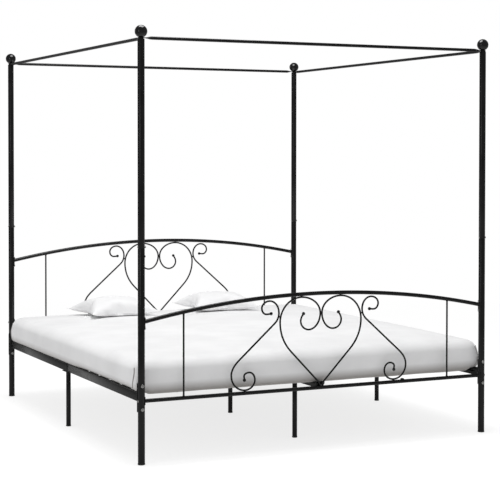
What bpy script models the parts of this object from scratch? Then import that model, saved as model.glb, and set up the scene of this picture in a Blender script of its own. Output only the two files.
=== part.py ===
"""Four-poster canopy bed: tube posts, canopy rails, scrolled panels, slatted base, mattress and pillows.

Metres, +Z up. The origin is on the floor under the middle of the bed; the headboard is at +Y.
"""

import math

import bmesh
import bpy
from mathutils import Matrix, Vector

# Whole bed, measured between the post axes
POSTS_ACROSS = 1.830
POSTS_ALONG = 2.070
SEAT_GAP = 0.0003

# Posts: a lower tube with a reduced neck, and an upper tube that slips over the neck
POST_RADIUS = 0.016
POST_WALL = 0.0015
LOWER_POST_HEIGHT = 0.975
UPPER_POST_LENGTH = 0.938
NECK_LENGTH = 0.060
POST_CAP = 0.004
FOOT_PLUG = 0.008
POST_SIDES = 16
BOLT_HOLE_RADIUS = 0.0033
JOINT_SCREW_OFFSET = 0.006
DRILL_SPARE = 0.010

# Finials
BALL_RADIUS = 0.0285
STUD_RADIUS = 0.004
STUD_REACH = 0.020
FINIAL_SIDES = 16

# Canopy rails: round tube, flattened at each end into a drilled tab
CANOPY_RADIUS = 0.0075
CANOPY_WALL = 0.0012
TAB_HALF_WIDTH = 0.0105
TAB_HALF_THICKNESS = 0.0015
TAB_SLIT = 0.0003
TAB_TIP = 0.006
TAB_PAST_POST = 0.002
TAB_TAPER = 0.030
CANOPY_SIDES = 10

# Headboard and footboard panels, which are the same panel at two heights
PANEL_BASE_HEIGHT = 0.2875
HEADBOARD_LIFT = 0.140
ARCH_END_ABOVE_BASE = 0.3575
ARCH_RISE = 0.093
ARCH_RADIUS = 0.0095
ARCH_STEPS = 18
HEART_HALF_WIDTH = 0.218
HEART_SLOPE = 46.0
BASE_RAIL_RADIUS = 0.009
BAR_RADIUS = 0.004
BAR_FROM_POST = 0.206
WIRE_RADIUS = 0.004
WIRE_BALL_RADIUS = 0.008
PANEL_PLATE_HEIGHT = 0.056
PANEL_PLATE_ANGLE = 46.0
PANEL_PLATE_WALL = 0.0025
PANEL_SCREW_PITCH = 0.043
PANEL_PLATE_DROP = 0.008
BASE_PLATE_HEIGHT = 0.036

# Side rails, in two halves that meet over the middle leg
RAIL_HEIGHT = 0.040
RAIL_WIDTH = 0.020
RAIL_WALL = 0.0015
RAIL_CENTRE_HEIGHT = 0.303
BRACKET_HEIGHT = 0.134
BRACKET_WALL = 0.004
BRACKET_OUTER_ANGLE = 78.0
BRACKET_INNER_ANGLE = 38.0
BRACKET_BOLT_PITCH = 0.106
LEDGE_WIDTH = 0.020
LEDGE_THICKNESS = 0.003
LEDGE_START = 0.050

# Slatted base
SLAT_COUNT = 13
SLAT_FROM_POST = 0.123
SLAT_DROP = 0.003
SLAT_WIDTH = 0.036
SLAT_HEIGHT = 0.015
SLAT_WALL = 0.0014
BEAM_FROM_POST = 0.085
BEAM_WIDTH = 0.040
BEAM_HEIGHT = 0.020
HANGER_WIDTH = 0.050
HANGER_WALL = 0.003
HANGER_REACH = 0.038
HANGER_RISE = 0.012

# Middle legs
LEG_RADIUS = 0.012
LEG_WALL = 0.0015
LEG_PLATE = 0.004
LEG_FROM_POST = 0.273
SHOE_REACH = 0.062
SHOE_HEEL = 0.014
LEG_SIDES = 16

# Bedding
MATTRESS_OVERHANG = 0.015
MATTRESS_END_GAP = 0.019
MATTRESS_THICKNESS = 0.160
MATTRESS_ROUNDING = 0.050
PILLOW_WIDTH = 0.420
PILLOW_DEPTH = 0.400
PILLOW_HEIGHT = 0.100
PILLOW_CENTRES = {"left": -0.395, "right": 0.265}
PILLOWS_FROM_HEAD = {"left": 0.245, "right": 0.225}

# Worked out from the values above
POST_X = POSTS_ACROSS / 2
POST_Y = POSTS_ALONG / 2
POST_TOP = LOWER_POST_HEIGHT + UPPER_POST_LENGTH
TAB_HEIGHT = 2 * TAB_HALF_THICKNESS
LOWER_TAB_CENTRE = POST_TOP + SEAT_GAP + TAB_HALF_THICKNESS
UPPER_TAB_CENTRE = LOWER_TAB_CENTRE + TAB_HEIGHT + SEAT_GAP
FINIAL_SEAT = UPPER_TAB_CENTRE + TAB_HALF_THICKNESS + SEAT_GAP
PLATE_RADIUS = POST_RADIUS + SEAT_GAP
DRILL_REACH = PLATE_RADIUS + BRACKET_WALL + DRILL_SPARE
ARCH_HALF_SPAN = POST_X - PLATE_RADIUS - PANEL_PLATE_WALL / 2
ARCH_BEND = (ARCH_HALF_SPAN ** 2 + ARCH_RISE ** 2) / (2 * ARCH_RISE)
ARCH_REACH = POST_X - POST_RADIUS / 2
ARCH_SAG = (2 * ARCH_REACH / ARCH_STEPS) ** 2 / (8 * ARCH_BEND)
RAIL_TOP = RAIL_CENTRE_HEIGHT + RAIL_HEIGHT / 2
RAIL_BOTTOM = RAIL_CENTRE_HEIGHT - RAIL_HEIGHT / 2
SLAT_TOP = RAIL_TOP - SLAT_DROP
SLAT_PITCH = (POSTS_ALONG - 2 * SLAT_FROM_POST) / (SLAT_COUNT - 1)
SLAT_BOTTOM = SLAT_TOP - SLAT_HEIGHT
LEDGE_TOP = SLAT_BOTTOM - SEAT_GAP
BEAM_TOP = SLAT_BOTTOM - SEAT_GAP
BEAM_BOTTOM = BEAM_TOP - BEAM_HEIGHT
MATTRESS_WIDTH = POSTS_ACROSS + 2 * MATTRESS_OVERHANG
MATTRESS_LENGTH = 2 * (POST_Y - POST_RADIUS - MATTRESS_END_GAP)
MATTRESS_BOTTOM = SLAT_TOP + SEAT_GAP
MATTRESS_TOP = MATTRESS_BOTTOM + MATTRESS_THICKNESS
SIDES = {"left": -1, "right": 1}
ENDS = {"foot": -1, "head": 1}
LIFTS = {"foot": 0.0, "head": HEADBOARD_LIFT}


def clear_scene():
    for thing in list(bpy.data.objects):
        bpy.data.objects.remove(thing, do_unlink=True)


def new_collection(name):
    collection = bpy.data.collections.new(name)
    bpy.context.scene.collection.children.link(collection)
    return collection


def new_material(name, colour, roughness, metallic=0.0):
    material = bpy.data.materials.new(name)
    material.use_nodes = True
    shader = material.node_tree.nodes["Principled BSDF"]
    shader.inputs["Base Color"].default_value = (*colour, 1.0)
    shader.inputs["Roughness"].default_value = roughness
    shader.inputs["Metallic"].default_value = metallic
    return material


clear_scene()
PARTS = new_collection("canopy_bed")
CUTTERS = new_collection("cutters")
COATED_STEEL = new_material("coated_steel", (0.018, 0.018, 0.019), 0.32, 0.4)
SLAT_STEEL = new_material("slat_steel", (0.03, 0.03, 0.032), 0.45, 0.4)
TICKING = new_material("mattress_cover", (0.88, 0.88, 0.88), 0.85)
PILLOWCASE = new_material("pillowcase", (0.93, 0.93, 0.92), 0.9)


def add_part(name, data, material):
    """Links a part into the bed's collection with its own finish."""
    part = bpy.data.objects.new(name, data)
    PARTS.objects.link(part)
    part.data.materials.clear()
    part.data.materials.append(material)
    return part


def add_helper(name, data):
    helper = bpy.data.objects.new(name, data)
    CUTTERS.objects.link(helper)
    helper.hide_render = True
    helper.display_type = "WIRE"
    return helper


def smooth(part, angle=35.0):
    part.data.shade_smooth()
    part.data.set_sharp_from_angle(angle=math.radians(angle))


def evaluated_mesh(source, name):
    """The mesh of an object with its modifiers or bevel, its loose caps welded, in world space."""
    bpy.context.view_layer.update()
    graph = bpy.context.evaluated_depsgraph_get()
    mesh = bpy.data.meshes.new_from_object(source.evaluated_get(graph))
    mesh.transform(source.matrix_world)
    mesh.name = name
    form = bmesh.new()
    form.from_mesh(mesh)
    bmesh.ops.remove_doubles(form, verts=form.verts, dist=1e-5)
    bmesh.ops.recalc_face_normals(form, faces=form.faces)
    form.to_mesh(mesh)
    form.free()
    bpy.data.objects.remove(source, do_unlink=True)
    return mesh


def boolean(part, other, operation):
    modifier = part.modifiers.new(operation.lower(), "BOOLEAN")
    modifier.operation = operation
    modifier.object = other
    modifier.solver = "EXACT"


def tube_curve(name, points, radius, radii=None, resolution=2):
    """A round bar along a chain of points; radii scales the bar at each point."""
    curve = bpy.data.curves.new(name, "CURVE")
    curve.dimensions = "3D"
    curve.bevel_depth = radius
    curve.bevel_resolution = resolution
    curve.use_fill_caps = True
    spline = curve.splines.new("POLY")
    spline.points.add(len(points) - 1)
    for index, point in enumerate(points):
        spline.points[index].co = (*point, 1.0)
        spline.points[index].radius = radii[index] if radii else 1.0
    return curve


def outline_solid(name, outlines, length):
    """A flat outline, with any further outlines as holes, extruded to the length along local Z."""
    curve = bpy.data.curves.new(name, "CURVE")
    curve.dimensions = "2D"
    curve.fill_mode = "BOTH"
    curve.extrude = length / 2
    for outline in outlines:
        spline = curve.splines.new("POLY")
        spline.points.add(len(outline) - 1)
        spline.use_cyclic_u = True
        for index, (x, y) in enumerate(outline):
            spline.points[index].co = (x, y, 0.0, 1.0)
    return curve


def box_mesh(name, low, high):
    form = bmesh.new()
    bmesh.ops.create_cube(form, size=1.0)
    size = Vector(high) - Vector(low)
    middle = (Vector(high) + Vector(low)) / 2
    bmesh.ops.scale(form, vec=size, verts=form.verts)
    bmesh.ops.translate(form, vec=middle, verts=form.verts)
    mesh = bpy.data.meshes.new(name)
    form.to_mesh(mesh)
    form.free()
    return mesh


def turned_mesh(name, profile, steps, centre):
    """A profile of (radius, height), down its outer side first, turned about a vertical axis."""
    mesh = bpy.data.meshes.new(name)
    pairs = [(index, (index + 1) % len(profile)) for index in range(len(profile))]
    edges = [pair for pair in pairs if profile[pair[0]][0] > 0 or profile[pair[1]][0] > 0]
    mesh.from_pydata([(radius, 0.0, height) for radius, height in profile], edges, [])
    turned = add_helper(name, mesh)
    screw = turned.modifiers.new("turn", "SCREW")
    screw.steps = steps
    screw.render_steps = steps
    screw.use_merge_vertices = True
    screw.merge_threshold = 1e-5
    turned.location = centre
    return evaluated_mesh(turned, name)


def saddle_mesh(name, axis_point, angles, half_height, wall):
    """A plate rolled round a post from one angle to another, in degrees, with its corners cut back."""
    columns = 9
    corner_cut = 0.3 * half_height
    vertices = []
    for column in range(columns):
        share = column / (columns - 1)
        angle = math.radians(angles[0] + (angles[1] - angles[0]) * share)
        reach = half_height - corner_cut * max(0.0, abs(2 * share - 1) * 4 - 3)
        x = axis_point[0] + PLATE_RADIUS * math.cos(angle)
        y = axis_point[1] + PLATE_RADIUS * math.sin(angle)
        vertices += [(x, y, axis_point[2] - reach), (x, y, axis_point[2] + reach)]
    faces = [(2 * c, 2 * c + 2, 2 * c + 3, 2 * c + 1) for c in range(columns - 1)]
    mesh = bpy.data.meshes.new(name)
    mesh.from_pydata(vertices, [], faces)
    plate = add_helper(name, mesh)
    thicken = plate.modifiers.new("wall", "SOLIDIFY")
    thicken.thickness = wall
    thicken.offset = 1.0
    return evaluated_mesh(plate, name)


def cope_helper(name, x, y, wall):
    """A cutter that shapes the end of a bar to sit inside the wall of its plate on a post."""
    form = bmesh.new()
    bmesh.ops.create_cone(form, cap_ends=True, segments=24, radius1=PLATE_RADIUS + wall / 2,
                          radius2=PLATE_RADIUS + wall / 2, depth=POST_TOP,
                          matrix=Matrix.Translation((x, y, POST_TOP / 2)))
    mesh = bpy.data.meshes.new(name)
    form.to_mesh(mesh)
    form.free()
    return add_helper(name, mesh)


def drill_mesh(name, holes):
    """Cutters, each (start, end, radius), in one mesh; their flats clear the radius."""
    form = bmesh.new()
    sides = 8
    for start, end, radius in holes:
        run = Vector(end) - Vector(start)
        turn = run.to_track_quat("Z", "Y").to_matrix().to_4x4()
        place = Matrix.Translation((Vector(start) + Vector(end)) / 2) @ turn
        corner = radius / math.cos(math.pi / sides)
        bmesh.ops.create_cone(form, cap_ends=True, segments=sides, radius1=corner, radius2=corner,
                              depth=run.length, matrix=place)
    mesh = bpy.data.meshes.new(name)
    form.to_mesh(mesh)
    form.free()
    return mesh


# ---- posts and finials


def post_drills(end, side):
    """The bolt holes of one post: bracket bolts along Y, panel bolts and the joint screw along X."""
    x, y = SIDES[side] * POST_X, ENDS[end] * POST_Y
    out = SIDES[side] * DRILL_REACH
    base = PANEL_BASE_HEIGHT + LIFTS[end]
    arch_end = base + ARCH_END_ABOVE_BASE - PANEL_PLATE_DROP
    holes = []
    for step in (-0.5, 0.5):
        z = RAIL_CENTRE_HEIGHT + BRACKET_BOLT_PITCH * step
        holes.append(((x, y - DRILL_REACH, z), (x, y + DRILL_REACH, z), BOLT_HOLE_RADIUS))
        z = arch_end + PANEL_SCREW_PITCH * step
        holes.append(((x, y, z), (x - out, y, z), BOLT_HOLE_RADIUS))
    holes.append(((x + out, y, base), (x - out, y, base), BOLT_HOLE_RADIUS))
    z = LOWER_POST_HEIGHT + JOINT_SCREW_OFFSET
    holes.append(((x + out, y, z), (x - out, y, z), BOLT_HOLE_RADIUS))
    return add_helper(f"drills_{end}_{side}", drill_mesh(f"drills_{end}_{side}", holes))


def add_post(end, side, drills):
    x, y = SIDES[side] * POST_X, ENDS[end] * POST_Y
    bore = POST_RADIUS - POST_WALL
    neck = bore - SEAT_GAP
    neck_bore = neck - POST_WALL
    top = LOWER_POST_HEIGHT + NECK_LENGTH
    profile = [(neck_bore, top), (neck, top), (neck, LOWER_POST_HEIGHT), (POST_RADIUS, LOWER_POST_HEIGHT),
               (POST_RADIUS, 0.0), (0.0, 0.0), (0.0, FOOT_PLUG), (bore, FOOT_PLUG),
               (bore, LOWER_POST_HEIGHT - POST_CAP), (neck_bore, LOWER_POST_HEIGHT - POST_CAP)]
    name = f"post_lower_{end}_{side}"
    lower = add_part(name, turned_mesh(name, profile, POST_SIDES, (x, y, 0)), COATED_STEEL)
    boolean(lower, drills, "DIFFERENCE")
    foot = LOWER_POST_HEIGHT + SEAT_GAP
    hole = STUD_RADIUS + SEAT_GAP
    profile = [(hole, POST_TOP), (POST_RADIUS, POST_TOP), (POST_RADIUS, foot), (bore, foot),
               (bore, POST_TOP - POST_CAP), (hole, POST_TOP - POST_CAP)]
    name = f"post_upper_{end}_{side}"
    upper = add_part(name, turned_mesh(name, profile, POST_SIDES, (x, y, 0)), COATED_STEEL)
    boolean(upper, drills, "DIFFERENCE")
    for part in (lower, upper):
        smooth(part)


def add_finial(end, side):
    """A ball with a flat seat and the stud that pins both canopy tabs to the post."""
    seat_radius = 0.010
    centre = FINIAL_SEAT + math.sqrt(BALL_RADIUS ** 2 - seat_radius ** 2)
    lowest = math.acos(-math.sqrt(BALL_RADIUS ** 2 - seat_radius ** 2) / BALL_RADIUS)
    bands = 9
    profile = []
    for band in range(bands + 1):
        angle = lowest * band / bands
        profile.append((BALL_RADIUS * math.sin(angle), centre + BALL_RADIUS * math.cos(angle)))
    stud_end = POST_TOP - STUD_REACH
    profile += [(STUD_RADIUS, FINIAL_SEAT), (STUD_RADIUS, stud_end), (0.0, stud_end)]
    name = f"finial_{end}_{side}"
    place = (SIDES[side] * POST_X, ENDS[end] * POST_Y, 0)
    smooth(add_part(name, turned_mesh(name, profile, FINIAL_SIDES, place), COATED_STEEL), 50.0)


# ---- canopy rails


def canopy_stations(half_span):
    """(place along the rail, half width, half height, flatness 0 to 1) from one tip to the middle."""
    stations = []
    for degrees in (20, 52, 90):
        angle = math.radians(degrees)
        place = half_span + TAB_TIP + TAB_HALF_WIDTH * math.cos(angle)
        stations.append((place, TAB_HALF_WIDTH * math.sin(angle), TAB_HALF_THICKNESS, 1.0))
    flat_end = half_span - POST_RADIUS - TAB_PAST_POST
    stations.append((flat_end, TAB_HALF_WIDTH, TAB_HALF_THICKNESS, 1.0))
    middle_width = (TAB_HALF_WIDTH + CANOPY_RADIUS) / 2
    middle_height = (TAB_HALF_THICKNESS + CANOPY_RADIUS) / 2
    stations.append((flat_end - TAB_TAPER / 2, middle_width, middle_height, 0.35))
    stations.append((flat_end - TAB_TAPER, CANOPY_RADIUS, CANOPY_RADIUS, 0.0))
    return stations


def canopy_ring(form, station, inset, sign):
    place, half_width, half_height, flatness = station
    height = half_height - inset
    if inset and flatness == 1.0:
        height = TAB_SLIT
    power = 1.0 - 0.65 * flatness
    ring = []
    for step in range(CANOPY_SIDES):
        angle = 2 * math.pi * (step + 0.5) / CANOPY_SIDES
        across, up = math.cos(angle), math.sin(angle)
        y = (half_width - inset) * math.copysign(abs(across) ** power, across)
        z = height * math.copysign(abs(up) ** power, up)
        ring.append(form.verts.new((sign * place, y, z)))
    return ring


def canopy_mesh(name, half_span):
    """A tube lofted from a round middle to flat drilled tabs, open at both tips."""
    form = bmesh.new()
    stations = canopy_stations(half_span)
    chain = [(station, 1) for station in stations] + [(station, -1) for station in reversed(stations)]
    skins = []
    for inset in (0.0, CANOPY_WALL):
        skins.append([canopy_ring(form, station, inset, sign) for station, sign in chain])
    loops = skins[0] + list(reversed(skins[1])) + [skins[0][0]]
    for first, second in zip(loops, loops[1:]):
        for step in range(CANOPY_SIDES):
            after = (step + 1) % CANOPY_SIDES
            form.faces.new((first[step], second[step], second[after], first[after]))
    bmesh.ops.recalc_face_normals(form, faces=form.faces)
    mesh = bpy.data.meshes.new(name)
    form.to_mesh(mesh)
    form.free()
    return mesh


def add_canopy_rail(place, half_span, centre, turn):
    name = f"canopy_rail_{place}"
    rail = add_part(name, canopy_mesh(name, half_span), COATED_STEEL)
    rail.location = centre
    rail.rotation_euler.z = turn
    reach = 2 * CANOPY_RADIUS
    along = Vector((math.cos(turn), math.sin(turn), 0)) * half_span
    holes = []
    for sign in (-1, 1):
        spot = Vector(centre) + sign * along
        holes.append((spot - Vector((0, 0, reach)), spot + Vector((0, 0, reach)), STUD_RADIUS + SEAT_GAP))
    boolean(rail, add_helper(f"drills_{name}", drill_mesh(f"drills_{name}", holes)), "DIFFERENCE")
    smooth(rail, 50.0)


# ---- scrolled panels


def arch_height(x, base):
    """Height of the arch tube's centre line over a point across the bed."""
    crown = base + ARCH_END_ABOVE_BASE + ARCH_RISE
    return crown - ARCH_BEND + math.sqrt(ARCH_BEND ** 2 - x ** 2)


def under_arch(x, base):
    """Height just clear of the arch tube's underside over a point across the bed."""
    steepness = ARCH_BEND / math.sqrt(ARCH_BEND ** 2 - x ** 2)
    return arch_height(x, base) - ARCH_RADIUS * steepness - ARCH_SAG - SEAT_GAP


def bend(start, corner, finish, steps):
    """A bend from one straight to the next, tangent to both at the corner where they would cross."""
    points = []
    for step in range(1, steps + 1):
        t = step / steps
        points.append(tuple((1 - t) ** 2 * a + 2 * t * (1 - t) * c + t * t * b
                            for a, c, b in zip(start, corner, finish)))
    return points


def quarter(start, finish, upright, steps):
    """A quarter of an ellipse from a turning point of the scroll to the next one."""
    points = []
    for step in range(1, steps + 1):
        angle = math.pi / 2 * step / steps
        slow, quick = 1 - math.cos(angle), math.sin(angle)
        shares = (slow, quick) if upright else (quick, slow)
        points.append(tuple(a + (b - a) * share for a, b, share in zip(start, finish, shares)))
    return points


def curl(start, turns, upright):
    """Quarter after quarter through turning points; upright says the wire first runs up or down."""
    points = []
    for turn in turns:
        points += quarter(start, turn, upright, 4)
        start, upright = turn, not upright
    return points


def ball_end(path):
    """Points and bar scales that swell the end of a wire into a ball."""
    last, before = Vector(path[-1]), Vector(path[-2])
    heading = (last - before).normalized()
    neck = math.asin(WIRE_RADIUS / WIRE_BALL_RADIUS)
    centre = last + heading * WIRE_BALL_RADIUS
    points, scales = [], []
    for share in (0.0, 0.33, 0.66, 0.97):
        angle = neck + (math.pi - neck) * share
        points.append(tuple(centre - heading * WIRE_BALL_RADIUS * math.cos(angle)))
        scales.append(WIRE_BALL_RADIUS * math.sin(angle) / WIRE_RADIUS)
    return points, scales


def heart_path(base):
    """Half of the heart, from its point up the outside, over the lobe and into the curl."""
    crown = arch_height(0.0, base)
    top = under_arch(0.105, base) - WIRE_RADIUS
    inside = WIRE_RADIUS + SEAT_GAP / 2
    rise = math.tan(math.radians(HEART_SLOPE))
    foot = (WIRE_RADIUS, base + BASE_RAIL_RADIUS + 0.6 * WIRE_RADIUS + SEAT_GAP)
    knee = (0.012, base + BASE_RAIL_RADIUS + 0.0174)
    outer = (HEART_HALF_WIDTH, crown - 0.130)
    corner = (outer[0], knee[1] + (outer[0] - knee[0]) * rise)
    bend_start = (0.160, knee[1] + (0.160 - knee[0]) * rise)
    path = [foot, knee, bend_start] + bend(bend_start, corner, outer, 4)
    turns = [(0.105, top), (inside, crown - 0.094), (0.0655, crown - 0.171), (0.109, crown - 0.129)]
    path += curl(outer, turns, upright=True)
    path += [(0.106, crown - 0.1125), (0.0975, crown - 0.0998)]
    return path


def scroll_path(base):
    """The S-scroll beside the heart, from its upper ball to its lower one."""
    crown = arch_height(0.0, base)
    bottom = base + BASE_RAIL_RADIUS + WIRE_RADIUS + SEAT_GAP
    path = [(0.273, crown - 0.0875)]
    path += curl(path[0], [(0.2885, crown - 0.0885)], upright=False)[1::2]
    inner = (HEART_HALF_WIDTH + 2 * WIRE_RADIUS - 0.0018, crown - 0.084)
    path += curl(path[-1], [(0.3135, crown - 0.060), (0.273, crown - 0.027), inner], upright=False)
    upper_corner = (inner[0], crown - 0.1141)
    slope = math.tan(math.radians(41.4))
    outer = (0.4705, base + 0.085)
    lower_corner = (outer[0], upper_corner[1] - (outer[0] - inner[0]) * slope)
    first = (0.2485, upper_corner[1] - (0.2485 - inner[0]) * slope)
    second = (0.431, upper_corner[1] - (0.431 - inner[0]) * slope)
    path += bend(inner, upper_corner, first, 3) + [second] + bend(second, lower_corner, outer, 3)
    turns = [(0.401, bottom), (0.3493, base + 0.0595), (0.3794, base + 0.0955), (0.405, base + 0.079)]
    path += curl(outer, turns, upright=True)
    path.append((0.404, base + 0.069))
    return path


def add_wire(name, path, sign, y, balls):
    """One bent wire of the panel, mirrored for the left side, with a ball on each stated end."""
    scales = [1.0] * len(path)
    if "end" in balls:
        points, more = ball_end(path)
        path, scales = path + points, scales + more
    if "start" in balls:
        points, more = ball_end(path[1::-1])
        path, scales = points[::-1] + path, more[::-1] + scales
    points = [(sign * x, y, z) for x, z in path]
    add_part(name, tube_curve(name, points, WIRE_RADIUS, scales), COATED_STEEL)


def plated_bar(name, points, radius, end, plate_height, plate_z):
    """A bar between two posts, coped at each end and welded there to a saddle plate."""
    y = ENDS[end] * POST_Y
    bar = add_helper(f"bar_{name}", tube_curve(name, points, radius))
    part = add_part(name, evaluated_mesh(bar, name), COATED_STEEL)
    for side, sign in SIDES.items():
        boolean(part, cope_helper(f"cope_{name}_{side}", sign * POST_X, y, PANEL_PLATE_WALL), "DIFFERENCE")
    for side, sign in SIDES.items():
        facing = 180.0 if sign > 0 else 0.0
        angles = (facing - PANEL_PLATE_ANGLE, facing + PANEL_PLATE_ANGLE)
        plate = saddle_mesh(f"{name}_plate_{side}", (sign * POST_X, y, plate_z), angles,
                            plate_height / 2, PANEL_PLATE_WALL)
        boolean(part, add_helper(plate.name, plate), "UNION")
    return part


def hanger_meshes(y):
    """An L of flat steel behind the base rail: a web past the beam's end and the ledge that carries it."""
    back = y + BASE_RAIL_RADIUS
    half, low = HANGER_WIDTH / 2, BEAM_BOTTOM - SEAT_GAP - HANGER_WALL
    web_low = min(low, PANEL_BASE_HEIGHT - 0.006)
    web_high = max(BEAM_TOP + HANGER_RISE, PANEL_BASE_HEIGHT + 0.006)
    web = box_mesh("hanger_web", (-half, back - 0.004, web_low),
                   (half, back - 0.001 + HANGER_WALL, web_high))
    ledge = box_mesh("hanger_ledge", (-half, back - 0.002, low),
                     (half, back + HANGER_REACH, low + HANGER_WALL))
    return [("hanger_web", web), ("hanger_ledge", ledge)]


def add_panel(end, drills):
    """Arch, base rail, two bars, two heart halves and two S-scrolls, in one upright plane."""
    y = ENDS[end] * POST_Y
    base = PANEL_BASE_HEIGHT + LIFTS[end]
    board = f"{end}board"
    places = [ARCH_REACH * (2 * step / ARCH_STEPS - 1) for step in range(ARCH_STEPS + 1)]
    points = [(x, y, arch_height(x, base)) for x in places]
    plate_z = base + ARCH_END_ABOVE_BASE - PANEL_PLATE_DROP
    arch = plated_bar(f"{board}_arch", points, ARCH_RADIUS, end, PANEL_PLATE_HEIGHT, plate_z)
    points = [(-ARCH_REACH, y, base), (ARCH_REACH, y, base)]
    rail = plated_bar(f"{board}_base_rail", points, BASE_RAIL_RADIUS, end, BASE_PLATE_HEIGHT, base)
    if end == "foot":
        for name, mesh in hanger_meshes(y):
            boolean(rail, add_helper(name, mesh), "UNION")
    for part in (arch, rail):
        for side in SIDES:
            boolean(part, drills[end, side], "DIFFERENCE")
        smooth(part)
    for side, sign in SIDES.items():
        x = POST_X - BAR_FROM_POST
        top = under_arch(x + BAR_RADIUS, base)
        bottom = base + BASE_RAIL_RADIUS + SEAT_GAP
        points = [(sign * x, y, bottom), (sign * x, y, top)]
        add_part(f"{board}_bar_{side}", tube_curve(f"{board}_bar_{side}", points, BAR_RADIUS), COATED_STEEL)
        add_wire(f"{board}_heart_{side}", heart_path(base), sign, y, ("end",))
        add_wire(f"{board}_scroll_{side}", scroll_path(base), sign, y, ("start", "end"))


# ---- side rails, beam, legs and slats


def box_tube_outlines(width, height, wall):
    """A rectangular tube's section: its outer outline and its bore, with eased corners."""
    outlines = []
    for inset, ease in ((0.0, 0.002), (wall, 0.0008)):
        half_width, half_height = width / 2 - inset, height / 2 - inset
        outline = []
        for sx, sy in ((1, 1), (-1, 1), (-1, -1), (1, -1)):
            corner = [(sx * half_width, sy * (half_height - ease)), (sx * (half_width - ease), sy * half_height)]
            outline += corner if sx * sy > 0 else corner[::-1]
        outlines.append(outline)
    return outlines


def box_tube_mesh(name, section, centre_x, centre_z, y_low, y_high):
    """A rectangular tube of the given (width, height) that runs along Y."""
    curve = outline_solid(name, box_tube_outlines(*section, RAIL_WALL), y_high - y_low)
    tube = add_helper(name, curve)
    tube.rotation_euler.x = math.pi / 2
    tube.location = (centre_x, (y_low + y_high) / 2, centre_z)
    return evaluated_mesh(tube, name)


def add_side_rail(end, side, drills):
    """Half a side rail: box tube, slat ledge inside it and the saddle bracket on the post."""
    x, sign = SIDES[side] * POST_X, ENDS[end]
    reach = sorted((sign * (POST_Y - POST_RADIUS / 2), sign * SEAT_GAP / 2))
    name = f"side_rail_{end}_{side}"
    section = (RAIL_WIDTH, RAIL_HEIGHT)
    rail = add_part(name, box_tube_mesh(name, section, x, RAIL_CENTRE_HEIGHT, *reach), COATED_STEEL)
    boolean(rail, cope_helper(f"cope_{name}", x, sign * POST_Y, BRACKET_WALL), "DIFFERENCE")
    facing, turn = -90.0 * sign, sign * SIDES[side]
    angles = sorted((facing + turn * BRACKET_OUTER_ANGLE, facing - turn * BRACKET_INNER_ANGLE))
    bracket = saddle_mesh(f"bracket_{name}", (x, sign * POST_Y, RAIL_CENTRE_HEIGHT), angles,
                          BRACKET_HEIGHT / 2, BRACKET_WALL)
    boolean(rail, add_helper(bracket.name, bracket), "UNION")
    inner = abs(x) - RAIL_WIDTH / 2
    across = sorted((SIDES[side] * (inner + RAIL_WALL / 2), SIDES[side] * (inner - LEDGE_WIDTH)))
    run = sorted((sign * (POST_Y - LEDGE_START), sign * 0.010))
    ledge = box_mesh(f"ledge_{name}", (across[0], run[0], LEDGE_TOP - LEDGE_THICKNESS),
                     (across[1], run[1], LEDGE_TOP))
    boolean(rail, add_helper(ledge.name, ledge), "UNION")
    boolean(rail, drills[end, side], "DIFFERENCE")


def leg_mesh(name, x, y, top):
    bore = LEG_RADIUS - LEG_WALL
    profile = [(bore, top), (LEG_RADIUS, top), (LEG_RADIUS, 0.0), (bore, 0.0)]
    return turned_mesh(name, profile, LEG_SIDES, (x, y, 0))


def add_leg(name, x, y, plate_top, plate_low, plate_high):
    """A tube leg with a flat bearer plate across its top."""
    leg = add_part(name, leg_mesh(name, x, y, plate_top - LEG_PLATE / 2), COATED_STEEL)
    plate = box_mesh(f"plate_{name}", (*plate_low, plate_top - LEG_PLATE), (*plate_high, plate_top))
    boolean(leg, add_helper(plate.name, plate), "UNION")
    smooth(leg)


def add_legs():
    half = RAIL_WIDTH / 2
    for side, sign in SIDES.items():
        x = sign * POST_X
        add_leg(f"side_rail_leg_{side}", x, 0.0, RAIL_BOTTOM - SEAT_GAP,
                (x - half - 0.003, -SHOE_HEEL), (x + half + 0.003, SHOE_REACH))
    spacing = POST_Y - LEG_FROM_POST
    for label, y in (("foot", -spacing), ("middle", 0.0), ("head", spacing)):
        add_leg(f"centre_leg_{label}", 0.0, y, BEAM_BOTTOM - SEAT_GAP, (-0.018, y - 0.030), (0.018, y + 0.030))


def add_centre_beam():
    """A box tube down the middle, from the footboard's hanger to past the last slat, in two lengths."""
    foot = -POST_Y + BASE_RAIL_RADIUS - 0.001 + HANGER_WALL + SEAT_GAP
    for end, reach in (("foot", (foot, -SEAT_GAP / 2)), ("head", (SEAT_GAP / 2, POST_Y - BEAM_FROM_POST))):
        name = f"centre_beam_{end}"
        mesh = box_tube_mesh(name, (BEAM_WIDTH, BEAM_HEIGHT), 0.0, BEAM_TOP - BEAM_HEIGHT / 2, *reach)
        add_part(name, mesh, COATED_STEEL)


def slat_outline():
    """A slat's section: a shallow steel channel, open below, with eased shoulders."""
    half, wall, ease = SLAT_WIDTH / 2, SLAT_WALL, 0.003
    outside = [(half, -SLAT_HEIGHT), (half, -ease), (half - ease, 0.0)]
    inside = [(half - ease, -wall), (half - wall, -ease - wall / 2), (half - wall, -SLAT_HEIGHT)]
    mirrored_outside = [(-x, y) for x, y in reversed(outside)]
    mirrored_inside = [(-x, y) for x, y in reversed(inside)]
    return outside + mirrored_outside + mirrored_inside + inside


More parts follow.
